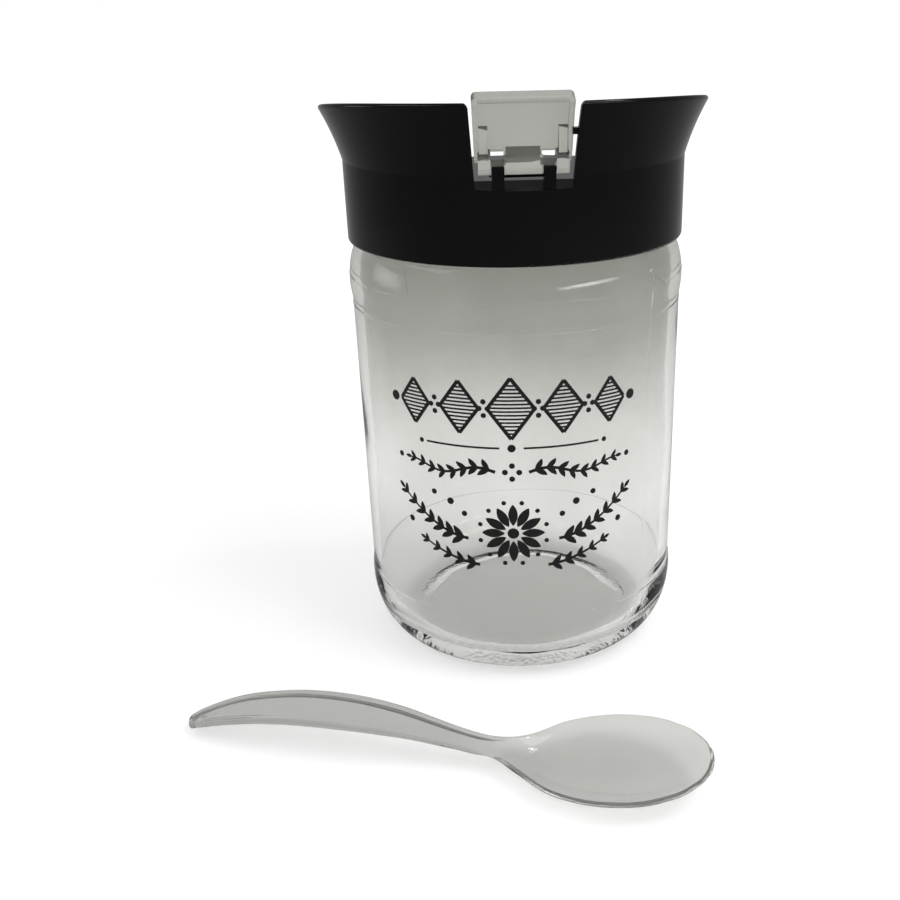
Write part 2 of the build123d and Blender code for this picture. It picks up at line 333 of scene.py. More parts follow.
class Nodes:
    """Short names for the nodes of one tree."""

    def __init__(self, tree: bpy.types.NodeTree) -> None:
        """Works on the tree that is given."""
        self.tree = tree

    def join(self, source: Socket, target: Socket) -> None:
        """Links one socket to another."""
        self.tree.links.new(source, target)

    def feed(self, value: Socket | float | Triple, target: Socket) -> None:
        """Links a socket to the target, or writes a number or a colour into it.

        Args:
            value: Socket, number or colour.
            target: The input that gets it.
        """
        if isinstance(value, Socket):
            self.join(value, target)
        elif isinstance(value, tuple):
            target.default_value = (*value, 1.0)
        else:
            target.default_value = value

    def maths(self, operation: str, first: Socket | float, second: Socket | float) -> Socket:
        """One step of arithmetic.

        Args:
            operation: Name of the operation.
            first: First value.
            second: Second value.

        Returns:
            The result.
        """
        node = self.tree.nodes.new("ShaderNodeMath")
        node.operation = operation
        self.feed(first, node.inputs[0])
        self.feed(second, node.inputs[1])
        return node.outputs["Value"]

    def spread(self, source: Socket, low: float, high: float, source_low: float = 0.0,
               source_high: float = 1.0) -> Socket:
        """Maps a value from one range to another, held at its ends.

        Args:
            source: The value.
            low: Result at the lower end.
            high: Result at the upper end.
            source_low: Lower end of the source range.
            source_high: Upper end of the source range.

        Returns:
            The mapped value.
        """
        node = self.tree.nodes.new("ShaderNodeMapRange")
        levels = {"From Min": source_low, "From Max": source_high, "To Min": low, "To Max": high}
        for key, value in levels.items():
            node.inputs[key].default_value = value
        self.join(source, node.inputs["Value"])
        return node.outputs["Result"]

    def blend(self, factor: Socket, low: Socket | Triple, high: Triple) -> Socket:
        """Colour between two colours.

        Args:
            factor: Share of the second colour.
            low: First colour.
            high: Second colour.

        Returns:
            The colour.
        """
        node = self.tree.nodes.new("ShaderNodeMix")
        node.data_type = "RGBA"
        ends = {socket.name: socket for socket in node.inputs if socket.type == "RGBA"}
        self.feed(low, ends["A"])
        self.feed(high, ends["B"])
        self.join(factor, node.inputs["Factor"])
        return next(socket for socket in node.outputs if socket.type == "RGBA")

    def ray(self, kind: str) -> Socket:
        """One for rays of the named kind, and zero for others."""
        return self.tree.nodes.new("ShaderNodeLightPath").outputs[kind]


class NodeKit(Nodes):
    """One material with its shader, and patterns over the object's own coordinates."""

    def __init__(self, name: str) -> None:
        """Starts a material that holds its output and its shader.

        Args:
            name: Name of the material.
        """
        self.material = bpy.data.materials.new(name)
        self.material.use_nodes = True
        super().__init__(self.material.node_tree)
        self.tree.nodes.clear()
        self.shader = self.tree.nodes.new("ShaderNodeBsdfPrincipled")
        output = self.tree.nodes.new("ShaderNodeOutputMaterial")
        self.join(self.shader.outputs["BSDF"], output.inputs["Surface"])
        self.place = self.tree.nodes.new("ShaderNodeTexCoord").outputs["Object"]

    def put(self, name: str, value: Socket | float | Triple) -> None:
        """Gives one of the shader's inputs its value or its pattern."""
        self.feed(value, self.shader.inputs[name])

    def noise(self, scale: float, detail: float = 3.0, stretch: Triple = (1, 1, 1)) -> Socket:
        """Noise over the object.

        Args:
            scale: Grains per metre.
            detail: Finer octaves in it.
            stretch: Factors along the axes, for streaks.

        Returns:
            The grey output.
        """
        mapping = self.tree.nodes.new("ShaderNodeMapping")
        mapping.inputs["Scale"].default_value = stretch
        self.join(self.place, mapping.inputs["Vector"])
        node = self.tree.nodes.new("ShaderNodeTexNoise")
        node.inputs["Scale"].default_value = scale
        node.inputs["Detail"].default_value = detail
        self.join(mapping.outputs["Vector"], node.inputs["Vector"])
        return node.outputs["Fac"]

    def cells(self, scale: float) -> Socket:
        """Rounded cells over the object, for stipple.

        Args:
            scale: Cells per metre.

        Returns:
            Distance from the middle of each cell.
        """
        node = self.tree.nodes.new("ShaderNodeTexVoronoi")
        node.inputs["Scale"].default_value = scale
        self.join(self.place, node.inputs["Vector"])
        return node.outputs["Distance"]

    def along(self, way: Triple) -> Socket:
        """Position along a direction: the dot product with it.

        Args:
            way: The direction, of length one.

        Returns:
            The position in metres.
        """
        node = self.tree.nodes.new("ShaderNodeVectorMath")
        node.operation = "DOT_PRODUCT"
        node.inputs[1].default_value = way
        self.join(self.place, node.inputs[0])
        return node.outputs["Value"]

    def bump(self, layers: Sequence[tuple[Socket, float, float]]) -> None:
        """Puts a chain of bumps on the shader.

        Args:
            layers: For each bump its source, its strength, and its depth in millimetres.
        """
        normal = None
        for source, strength, depth in layers:
            node = self.tree.nodes.new("ShaderNodeBump")
            node.inputs["Strength"].default_value = strength
            node.inputs["Distance"].default_value = depth * MM
            self.join(source, node.inputs["Height"])
            if normal is not None:
                self.join(normal, node.inputs["Normal"])
            normal = node.outputs["Normal"]
        self.put("Normal", normal)


@dataclass(frozen=True)
class JarGlass:
    """Clear container glass: faint waves, a faint body tint with painted shade that darkens it towards the
    top and towards the foot, stipple on the foot.
    """

    # Painted shade: the top and the foot take darker tints than the middle of the glass.
    shaded_foot_tint: Triple = (0.77, 0.77, 0.755)
    tint_low: Triple = (0.87, 0.87, 0.855)
    shaded_top_tint: Triple = (0.485, 0.485, 0.46)
    foot_shade_span: Pair = (8.0, 50.0)
    top_shade_span: Pair = (68.0, 118.0)
    wander: float = 30.0
    ior: float = 1.22
    haze: float = 0.035
    wave_depth: float = 0.12
    stipple_per_metre: float = 900.0
    stipple_span: Pair = (1.4, 2.4)
    stipple_depth: float = 0.2

    def material(self) -> bpy.types.Material:
        """Builds the glass.

        Returns:
            The material.
        """
        kit = NodeKit("jar_glass")
        kit.put("Transmission Weight", 1.0)
        kit.put("IOR", self.ior)
        # Painted shade: the middle tint darkens towards the top and towards the foot, along a wandering edge.
        drift = kit.maths("MULTIPLY", kit.noise(30, 2.0, (1, 1, 0.3)), self.wander * MM)
        level = kit.maths("ADD", drift, kit.along(UP))
        from_low, to_high = (height * MM for height in self.top_shade_span)
        upper = kit.blend(kit.spread(level, 0.0, 1.0, from_low, to_high), self.tint_low, self.shaded_top_tint)
        from_foot, to_low = (height * MM for height in self.foot_shade_span)
        foot_shade = kit.spread(kit.along(UP), 1.0, 0.0, from_foot, to_low)
        kit.put("Base Color", kit.blend(foot_shade, upper, self.shaded_foot_tint))
        kit.put("Roughness", kit.spread(kit.noise(120), 0.0, self.haze, 0.35, 0.75))
        full, none = (height * MM for height in self.stipple_span)
        stipple = kit.maths("MULTIPLY", kit.cells(self.stipple_per_metre),
                            kit.spread(kit.along(UP), 1.0, 0.0, full, none))
        kit.bump([(kit.noise(26, 1.0), 0.35, self.wave_depth), (stipple, 0.5, self.stipple_depth)])
        return kit.material


@dataclass(frozen=True)
class BlackGloss:
    """Moulded black plastic with a high gloss, faint flow waves and fine wear."""

    base: float = 0.0022
    ior: float = 1.2
    roughness: Pair = (0.06, 0.16)

    def material(self) -> bpy.types.Material:
        """Builds the plastic.

        Returns:
            The material.
        """
        kit = NodeKit("lid_black_gloss")
        kit.put("IOR", self.ior)
        kit.put("Base Color", kit.blend(kit.noise(60), (self.base,) * 3, (self.base * 1.5,) * 3))
        wear = kit.noise(260, 6.0, (1, 1, 0.25))
        kit.put("Roughness", kit.spread(wear, *self.roughness, 0.35, 0.8))
        kit.bump([(kit.noise(38, 1.0), 0.3, 0.12), (kit.noise(1500, 2.0), 0.15, 0.006)])
        return kit.material


@dataclass(frozen=True)
class ClearPlastic:
    """Clear moulded plastic, slightly grey and hazy by a little."""

    name: str
    tint: Triple
    ior: float
    far_tint: Optional[Triple] = None
    tint_span: Pair = (-25.0, 5.0)
    clear: float = 0.9
    # Painted light: beyond this plane the plastic is made less clear, so that end renders paler.
    painted_light_end: Optional[tuple[Triple, float]] = None
    painted_light_clear: float = 0.35
    painted_light_fade: float = 0.35

    def material(self) -> bpy.types.Material:
        """Builds the plastic, made less clear beyond a plane as painted light that makes that end paler, and
        tinted otherwise at the right where these are given.

        The plane is a direction and how far along it, in millimetres from the origin, the painted light
        begins.

        Returns:
            The material.
        """
        kit = NodeKit(self.name)
        kit.put("Transmission Weight", self.clear)
        # Painted light: less clear plastic beyond the plane gives a paler band at the flap's end.
        if self.painted_light_end is not None:
            way, begin = self.painted_light_end
            kit.put("Transmission Weight", kit.spread(kit.along(way), self.clear, self.painted_light_clear,
                                                      begin * MM, (begin + self.painted_light_fade) * MM))
        kit.put("IOR", self.ior)
        if self.far_tint is None:
            darker = tuple(c * 0.95 for c in self.tint)
            kit.put("Base Color", kit.blend(kit.noise(90), darker, self.tint))
        else:
            left, right = (place * MM for place in self.tint_span)
            share = kit.spread(kit.along(ACROSS), 0.0, 1.0, left, right)
            kit.put("Base Color", kit.blend(share, self.tint, self.far_tint))
        kit.put("Roughness", kit.spread(kit.noise(400, 5.0), 0.01, 0.09, 0.3, 0.8))
        kit.bump([(kit.noise(70, 1.0), 0.3, 0.15), (kit.noise(1200, 2.0), 0.1, 0.006)])
        return kit.material


@dataclass(frozen=True)
class ScreenInk:
    """Black screen-printed ink, satin, with slight unevenness in its cover."""

    tone: float = 0.006

    def material(self) -> bpy.types.Material:
        """Builds the ink.

        Returns:
            The material.
        """
        kit = NodeKit("screen_ink")
        kit.put("Specular IOR Level", 0.2)
        kit.put("Base Color", kit.blend(kit.noise(900), (self.tone,) * 3, (self.tone * 2.2,) * 3))
        kit.put("Roughness", kit.spread(kit.noise(700), 0.3, 0.5))
        kit.bump([(kit.noise(2500), 0.3, 0.01)])
        return kit.material


@dataclass(frozen=True)
class SoftSeal:
    """Milky soft sealing material."""

    tone: Triple = (0.80, 0.80, 0.76)

    def material(self) -> bpy.types.Material:
        """Builds the sealing material.

        Returns:
            The material.
        """
        kit = NodeKit("soft_seal")
        kit.put("Base Color", kit.blend(kit.noise(200), tuple(c * 0.9 for c in self.tone), self.tone))
        kit.put("Roughness", kit.spread(kit.noise(500), 0.45, 0.65))
        kit.bump([(kit.noise(1800), 0.3, 0.02)])
        return kit.material


def dress(piece: Piece, material: bpy.types.Material) -> None:
    """Gives a piece one material in all its slots.

    Args:
        piece: The piece.
        material: Its material.
    """
    if not piece.material_slots:
        piece.data.materials.append(material)
    for slot in piece.material_slots:
        slot.link = "OBJECT"
        slot.material = material


# Jar


@dataclass
class GlassJar:
    """Blown jar: foot ring, heel, recessed panel, shoulder, screw neck, lip, and the space inside.

    A wave is given by its amplitude, its number round the jar, the height over which it leans by one
    radian, and its phase. A zone is given by the spans over which it fades in and out: heights, heights and
    radii for the ridges, radii for the rim of the pushed-up base, radii and heights for the floor's corner,
    and heights for the waves of the wall.
    """

    height: float = 133.0
    dome_top: float = 4.0
    dome_edge: Pair = (27.0, 2.35)
    foot: Pair = (33.6, 35.6)
    heel: Pair = (47.0, 18.4)
    panel_low: Pair = (46.55, 22.8)
    panel_high: Pair = (46.9, 103.7)
    shoulder: Pair = (47.45, 109.5)
    shoulder_arc: Pair = (5.85, 13.2)
    neck_radius: float = 42.6
    bead: Pair = (1.1, 125.1)
    mouth_radius: float = 39.6
    bore_radius: float = 44.1
    shoulder_inside: tuple[Pair, ...] = (
        (102.0, 44.1), (105.0, 44.15), (109.4, 44.5), (113.5, 44.2), (116.2, 43.55), (118.3, 42.6),
        (119.9, 41.55), (121.2, 40.6), (122.8, 39.8), (124.5, 39.6), (126.0, 39.6))
    well: Pair = (33.4, 20.0)
    floor: float = 5.6
    column_step: float = 2.0
    seam_angle: float = 46.5
    seam_height: float = 0.2
    seam_width: float = 0.3
    seam_rows: Pair = (84.0, 96.0)
    seam_low_share: float = 0.25
    arcs: tuple[Pair, ...] = ((21.0, 0.12), (103.6, 0.10), (111.8, 0.07))
    arc_width: float = 0.15
    arc_zone: Pair = (19.0, 120.0)
    wall_waves: tuple[Wave, ...] = (
        (0.06, 3, 17.0, 0.0), (0.05, 5, -9.0, 1.3), (0.03, 8, 6.0, 0.0))
    base_waves: tuple[Wave, ...] = ((0.35, 5, math.inf, 0.7), (0.25, 11, math.inf, 2.1))
    corner_waves: tuple[Wave, ...] = ((0.22, 4, math.inf, 1.1), (0.16, 9, math.inf, 0.4))
    ridge_zone: tuple[Pair, Pair, Pair] = ((1.5, 6.0), (120.5, 122.5), (35.0, 38.0))
    rim_zone: tuple[Pair, Pair] = ((22.0, 28.0), (33.0, 34.0))
    rim_top: float = 3.9
    corner_zone: tuple[Pair, Pair] = ((30.0, 38.0), (16.0, 30.0))
    wave_zone: tuple[Pair, Pair] = ((8.0, 20.0), (92.0, 104.0))
    thread_starts: int = 4
    thread_first: float = 12.0
    thread_span: float = 58.0
    thread_radius: float = 43.95
    thread_low: float = 129.0
    thread_rise: float = 1.7
    thread_half_height: float = 0.85
    thread_sink: float = 0.06

    def panel_radius(self, height: np.ndarray) -> np.ndarray:
        """Radius of the label panel at a height, along a straight line between its two ends."""
        (r0, z0), (r1, z1) = self.panel_low, self.panel_high
        return r0 + (r1 - r0) * (height - z0) / (z1 - z0)

    def outer_profile(self) -> np.ndarray:
        """Outside of the wall from the axis under the base up to the lip.

        A shallow dome under the base, a flat foot ring, a quarter ellipse as heel, a straight panel between
        two small steps, part of an ellipse as shoulder, and the neck with its round bead.

        Returns:
            Array (points, 2) of radius and height.
        """
        r_in, r_out = self.foot
        heel_r, heel_z = self.heel
        sweep = math.degrees(math.acos((self.neck_radius - self.shoulder[0] + self.shoulder_arc[0])
                                       / self.shoulder_arc[0]))
        centre = (self.shoulder[0] - self.shoulder_arc[0], self.shoulder[1])
        over = ellipse_arc(centre, self.shoulder_arc, 0, sweep, 34)
        step_low = (0, self.panel_low[1] - heel_z)
        step_high = (0, self.shoulder[1] - self.panel_high[1])
        bead_r, bead_z = self.bead
        parts = [
            hermite((0, self.dome_top), self.dome_edge, (22, 0), (12, -1.95), 24),
            hermite(self.dome_edge, (r_in + 0.9, 0.0), (5.0, -0.81), (4.5, -0.1), 20),
            line((r_in + 1.1, 0), (r_out - 0.2, 0), 3),
            ellipse_arc((r_out, heel_z), (heel_r - r_out, heel_z), -89, 0, 42),
            hermite((heel_r, heel_z), self.panel_low, step_low, step_low, 13),
            line(self.panel_low, self.panel_high, 36),
            hermite(self.panel_high, self.shoulder, step_high, step_high, 15),
            over[1:],
            line((self.neck_radius, over[-1, 1] + 0.3), (self.neck_radius, bead_z - bead_r), 3),
            ellipse_arc((self.neck_radius, bead_z), (bead_r, bead_r), -88, 88, 13),
            line((self.neck_radius, bead_z + bead_r), (self.neck_radius, self.height - 1.0), 8),
            ellipse_arc((self.neck_radius - 1, self.height - 1), (1, 1), 8, 90, 8),
        ]
        return self.with_arc_rows(joined(parts))

    def with_arc_rows(self, path: np.ndarray) -> np.ndarray:
        """Adds rows of points close above and below each fine arc, on the line between neighbours.

        Args:
            path: Array (points, 2) of radius and height.

        Returns:
            The path with the added points.
        """
        low, high = self.arc_zone
        wall = np.flatnonzero((path[:, 1] > low) & (path[:, 1] < high) & (path[:, 0] > self.neck_radius))
        first, last = wall[0], wall[-1]
        near = np.linspace(-2.4, 2.4, 13) * self.arc_width
        levels = np.concatenate([path[first:last + 1, 1]] + [level + near for level, _ in self.arcs])
        levels = np.unique(np.round(levels, 3))
        radii = np.interp(levels, path[first:last + 1, 1], path[first:last + 1, 0])
        return np.concatenate([path[:first], np.stack([radii, levels], axis=1), path[last + 1:]])

    def inner_profile(self) -> np.ndarray:
        """Inside of the wall from the lip down to the axis on the floor.

        Returns:
            Array (points, 2) of radius and height.
        """
        mouth, bore = self.mouth_radius, self.bore_radius
        parts = [
            ellipse_arc((mouth + 1, self.height - 1), (1, 1), 90, 172, 8),
            line((mouth, self.height - 1.2), (mouth, self.shoulder_inside[-1][0]), 6),
            self.shoulder_bore(),
            line((bore, self.shoulder_inside[0][0]), (bore, self.well[1] + 1.5), 34),
            ellipse_arc(self.well, (bore - self.well[0], self.well[1] - self.floor), 0, -90, 32),
            hermite((self.well[0] - 1.5, self.floor + 0.03), (0, self.floor + 1.8), (-20, 0.3), (-26, 0), 26),
        ]
        return joined(parts)

    def shoulder_bore(self) -> np.ndarray:
        """Inside of the shoulder, from the neck down to the panel, through its heights and radii."""
        heights = np.linspace(self.shoulder_inside[-1][0], self.shoulder_inside[0][0], 48)
        return np.stack([through(self.shoulder_inside, heights), heights], axis=1)

    def angles(self) -> np.ndarray:
        """Angles of the columns: even all round, with extra ones at the two mould seams.

        Returns:
            The angles in degrees, rising.
        """
        fine = np.linspace(-1.6, 1.6, 15)
        even = np.arange(0.0, 360.0, self.column_step)
        seams = np.concatenate([self.seam_angle + fine, self.seam_angle + 180 + fine])
        keep = np.abs((even[:, None] - seams[None, :] + 180) % 360 - 180).min(axis=1) > 0.5
        return np.sort(np.concatenate([even[keep], seams]))

    def ring_waves(self, waves: Sequence[Wave], a: np.ndarray, z: np.ndarray) -> np.ndarray:
        """Sum of amplitude times sin(number a + z / lean + phase).

        Args:
            waves: Amplitude, number, lean and phase of each wave.
            a: Angles in radians.
            z: Heights.

        Returns:
            The sum at every height and angle.
        """
        return sum(size * np.sin(number * a + z / lean + phase) for size, number, lean, phase in waves)

    def wall(self) -> Piece:
        """The whole glass as one closed surface.

        The profile is turned about the axis. On the outside narrow bell-shaped ridges follow both mould
        seams and a few levels of the panel's steps, and the edge of the pushed-up base wanders by two sine
        waves. On the inside the radius swells and shrinks by slow sine waves, in the wall and in the
        floor's corner, as blown glass does.

        Returns:
            The new piece.
        """
        outer, inner = self.outer_profile(), self.inner_profile()
        profile = np.concatenate([outer, inner])
        angles = self.angles()
        away = np.abs((angles - self.seam_angle + 90) % 180 - 90) * math.radians(1) * self.heel[0]
        z, r = profile[:, 1:2], profile[:, 0:1]
        share = self.seam_low_share + (1 - self.seam_low_share) * smooth_step(*self.seam_rows, z)
        ridge = self.seam_height * np.exp(-(away / self.seam_width) ** 2)[None, :] * share
        ridge = ridge + sum(rise * np.exp(-((z - level) / self.arc_width) ** 2) for level, rise in self.arcs)
        outside = (np.arange(len(profile)) < len(outer))[:, None]
        begin, end, outwards = self.ridge_zone
        on_wall = smooth_step(*begin, z) * (1 - smooth_step(*end, z)) * smooth_step(*outwards, r)
        begin, end = self.rim_zone
        under = smooth_step(*begin, r) * (1 - smooth_step(*end, r)) * (z < self.rim_top)
        begin, end = self.corner_zone
        corner = smooth_step(*begin, r) * (1 - smooth_step(*end, z))
        begin, end = self.wave_zone
        middle = on_wall * smooth_step(*begin, z) * (1 - smooth_step(*end, z))
        a = np.radians(angles)[None, :]
        inside = (self.ring_waves(self.wall_waves, a, z) * middle
                  + self.ring_waves(self.corner_waves, a, z) * corner)
        relief = np.where(outside, ridge * on_wall + self.ring_waves(self.base_waves, a, z) * under, inside)
        return turned_surface("jar_wall", profile, angles, relief)

    def thread(self) -> Piece:
        """Slanted ridges on the neck that the lid's lugs run under.

        Each is a half-round section carried along a rising arc; its height fades out at both ends by the
        square root of a sine.

        Returns:
            The new piece.
        """
        t = np.linspace(0.0, 1.0, 40)
        fade = np.sqrt(np.sin(np.pi * np.clip(t, 0.004, 0.996)))[:, None]
        turn = np.linspace(-np.pi / 2, np.pi / 2, 9)
        reach = self.thread_radius - self.neck_radius
        strips = []
        for k in range(self.thread_starts):
            begin = k * 360 / self.thread_starts + self.thread_first
            angle = np.radians(begin + self.thread_span * t)[:, None]
            radius = self.neck_radius - self.thread_sink + reach * fade * np.cos(turn)
            height = (self.thread_low + self.thread_rise * t[:, None]
                      + self.thread_half_height * fade * np.sin(turn))
            strips.append(np.stack([radius * np.sin(angle), -radius * np.cos(angle), height], axis=-1))
        return add_strips("jar_thread", strips)


@dataclass
class PrintedOrnament:
    """Printed ornament on the panel: hatched lozenges, a leafy wave, a rosette with vines, a dotted rule.

    Every stroke is a strip on the unrolled panel: a path with a width at each point. Positions are
    millimetres across from the ornament's middle, and heights above the ground. Buds are the dots beside
    the long vines: place, height and radius. A vine is given by its start across and its run, its lowest
    height and its rise, the power by which it rises, its pairs of leaves and their length.
    """

    jar: GlassJar
    middle_angle: float = -5.5
    gap: float = 0.03
    film: float = 0.05
    pen: float = 1.0
    fine_pen: float = 0.5
    rule_pen: float = 0.55
    frieze_level: float = 84.2
    lozenges: tuple[Pair, ...] = ((-27.4, 6.2), (-13.9, 7.2), (0.0, 8.4), (13.9, 7.2), (27.4, 6.2))
    lozenge_slimness: float = 0.74
    hatch_step: float = 1.02
    clusters: tuple[float, ...] = (-20.9, -7.2, 7.2, 20.9)
    frieze_end: float = 34.4
    rule_level: float = 73.2
    rule_gap: float = 3.2
    rule_reach: float = 24.0
    garland_level: float = 66.3
    garland_run: Pair = (4.5, 25.0)
    garland_wave: Pair = (1.1, 2.5)
    garland_end: float = 33.6
    garland_dots: Pair = (1.9, 0.8)
    garland_leaf: Pair = (3.9, 42.0)
    rosette_level: float = 48.2
    eye: float = 1.6
    petals: int = 12
    petal: Triple = (2.3, 6.4, 2.6)
    ring: Pair = (9.4, 0.65)
    vines: tuple[tuple[float, ...], ...] = (
        (12.6, 20.5, 46.0, 11.0, 1.7, 7, 4.6), (9.5, 16.5, 38.2, 5.0, 1.6, 5, 3.8))
    vine_lean: float = 40.0
    buds: tuple[Triple, ...] = ((13.5, 53.4, 0.8), (17.5, 56.6, 1.0), (22.5, 58.6, 0.8), (31.0, 48.4, 0.9))

    def strip(self, across: np.ndarray, up: np.ndarray, width: np.ndarray) -> np.ndarray:
        """Sections of a thin closed strip along a path on the panel.

        The path is moved half a width to each side along its normal, which gives left and right edge; both
        are wrapped round the panel at two radii, one for each face of the ink film.

        Args:
            across: Positions of the path's points.
            up: Heights of the path.
            width: Full width at each point.

        Returns:
            Array (stations, 4, 3).
        """
        path = np.stack([across, up], axis=1)
        run = np.gradient(path, axis=0)
        run /= np.linalg.norm(run, axis=1, keepdims=True)
        side = np.stack([-run[:, 1], run[:, 0]], axis=1) * np.broadcast_to(width, across.shape)[:, None] / 2
        left, right = path + side, path - side
        flat = np.stack([left, right, right, left], axis=1)
        base = self.jar.panel_radius(flat[..., 1]) + self.gap
        radius = base + np.array([0.0, 0.0, self.film, self.film])[None, :]
        angle = math.radians(self.middle_angle) + flat[..., 0] / self.jar.panel_low[0]
        return np.stack([radius * np.sin(angle), -radius * np.cos(angle), flat[..., 1]], axis=-1)

    def stroke(self, start: Sequence[float], end: Sequence[float], width: float) -> np.ndarray:
        """Straight stroke of even width."""
        path = line(start, end, max(2, int(abs(end[0] - start[0]) / 2.5) + 2))
        return self.strip(path[:, 0], path[:, 1], np.full(len(path), width))

    def dot(self, across: float, up: float, radius: float) -> np.ndarray:
        """Round dot: a straight path whose width follows a half circle."""
        t = np.linspace(-np.pi / 2 + 0.12, np.pi / 2 - 0.12, 11)
        return self.strip(across + radius * np.sin(t), np.full(t.shape, up), 2 * radius * np.cos(t))

    def leaf(self, root: Sequence[float], turn: float, length: float, width: float, bow: float) -> np.ndarray:
        """Leaf: a bowed path whose width follows sin(pi t) to the power 0.8.

        Args:
            root: Where it leaves the stem.
            turn: Its direction in degrees.
            length: Its length.
            width: Its greatest width.
            bow: How far its middle is bowed aside.

        Returns:
            Sections of the leaf.
        """
        t = np.linspace(0.02, 0.98, 15)
        along, aside = length * t, bow * np.sin(np.pi * t)
        c, s = math.cos(math.radians(turn)), math.sin(math.radians(turn))
        return self.strip(root[0] + c * along - s * aside, root[1] + s * along + c * aside,
                          width * np.sin(np.pi * t) ** 0.8)

    def lozenge(self, across: float, up: float, half_width: float, half_height: float) -> list[np.ndarray]:
        """Outlined lozenge filled with level hatching.

        Args:
            across: Position of its middle.
            up: Height of its middle.
            half_width: Half its width.
            half_height: Half its height.

        Returns:
            Sections of every stroke.
        """
        corners = [(across - half_width, up), (across, up + half_height), (across + half_width, up),
                   (across, up - half_height)]
        parts = [self.stroke(corners[i], corners[(i + 1) % 4], self.pen) for i in range(4)]
        for level in np.arange(-half_height + 1.5, half_height - 1.4, self.hatch_step):
            reach = half_width * (1 - abs(level) / half_height) - 0.5
            ends = ((across - reach, up + level), (across + reach, up + level))
            parts.append(self.stroke(*ends, self.fine_pen))
        return parts

    def frieze(self) -> list[np.ndarray]:
        """Upper row: hatched lozenges between clusters of four dots, and a round dot at each end.

        Returns:
            Sections of every stroke and dot.
        """
        parts: list[np.ndarray] = []
        for place, size in self.lozenges:
            parts += self.lozenge(place, self.frieze_level, size * self.lozenge_slimness, size)
        for place in self.clusters:
            for dx, dz in ((0, 1.9), (0, -1.9), (-1.1, 0), (1.1, 0)):
                parts.append(self.dot(place + dx, self.frieze_level + dz, 0.72))
        for way in (-1, 1):
            parts.append(self.dot(way * self.frieze_end, self.frieze_level, 1.4))
        return parts

    def vine(self, across: np.ndarray, up: np.ndarray, pairs: int, length: float,
             lean: float) -> list[np.ndarray]:
        """Stem with leaves that leave it in pairs, shorter towards its tip.

        Args:
            across: Positions of the stem's points.
            up: Heights of the stem's points.
            pairs: Number of pairs of leaves.
            length: Length of the first leaves.
            lean: Angle between leaf and stem in degrees.

        Returns:
            Sections of the stem and of every leaf.
        """
        t = np.linspace(0.0, 1.0, len(across))
        parts = [self.strip(across, up, 0.95 - 0.45 * t)]
        way = np.degrees(np.unwrap(np.arctan2(np.gradient(up), np.gradient(across))))
        for k in range(pairs):
            here = 0.06 + 0.88 * k / (pairs - 1)
            root = (float(np.interp(here, t, across)), float(np.interp(here, t, up)))
            turn = float(np.interp(here, t, way))
            size = length * (1 - 0.35 * here)
            for side in (-1, 1):
                parts.append(self.leaf(root, turn + side * lean, size, 0.4 * size, -side * 0.08 * size))
        parts.append(self.leaf((across[-1], up[-1]), float(way[-1]), 0.6 * length, 0.26 * length, 0.0))
        return parts

    def garland(self) -> list[np.ndarray]:
        """Middle row: two gently waving vines that run outwards from a small diamond of dots.

        Returns:
            Sections of every stem, leaf and dot.
        """
        level, (begin, run), (swing, turns) = self.garland_level, self.garland_run, self.garland_wave
        beside, radius = self.garland_dots
        t = np.linspace(0.0, 1.0, 60)
        parts: list[np.ndarray] = []
        for way in (-1, 1):
            height = level + swing * np.sin(t * turns * np.pi)
            parts += self.vine(way * (begin + run * t), height, 8, *self.garland_leaf)
            parts.append(self.dot(way * self.garland_end, level + swing, radius))
            parts.append(self.dot(way * beside, level, radius))
        parts += [self.dot(0.0, level + lift, radius) for lift in (-beside, beside)]
        return parts

    def rosette(self) -> list[np.ndarray]:
        """Lower middle: petals round an eye in a ring of dots, between two long vines and two short ones.

        Returns:
            Sections of every stem, leaf and dot.
        """
        level, (root, length, width), (reach, small) = self.rosette_level, self.petal, self.ring
        parts = [self.dot(0.0, level, self.eye)]
        for k in range(self.petals):
            turn = 360.0 / self.petals * k
            c, s = math.cos(math.radians(turn)), math.sin(math.radians(turn))
            parts.append(self.leaf((root * c, level + root * s), turn, length, width, 0.0))
            between = math.radians(turn + 180 / self.petals)
            parts.append(self.dot(reach * math.cos(between), level + reach * math.sin(between), small))
        t = np.linspace(0.0, 1.0, 40)
        for way in (-1, 1):
            for begin, run, low, rise, power, pairs, leaf in self.vines:
                across, up = way * (begin + run * t), low + rise * t ** power
                parts += self.vine(across, up, int(pairs), leaf, self.vine_lean)
            parts += [self.dot(way * across, up, radius) for across, up, radius in self.buds]
        return parts

    def rule(self) -> list[np.ndarray]:
        """Fine rule in two halves, with a dot between them and one at each end.

        Returns:
            Sections of both halves and of the dots.
        """
        parts: list[np.ndarray] = []
        for way in (-1, 1):
            ends = ((way * self.rule_gap, self.rule_level), (way * self.rule_reach, self.rule_level))
            parts.append(self.stroke(*ends, self.rule_pen))
            parts.append(self.dot(way * (self.rule_reach + 1.7), self.rule_level, 0.7))
        parts.append(self.dot(0.0, self.rule_level, 1.1))
        return parts

    def build(self) -> Piece:
        """Joins all strips into one printed piece with flat shading.

        Returns:
            The new piece.
        """
        strips = self.frieze() + self.garland() + self.rosette() + self.rule()
        piece = add_strips("printed_ornament", strips)
        piece.data.polygons.foreach_set("use_smooth", np.zeros(len(piece.data.polygons), bool))
        return piece


# Lid and flap


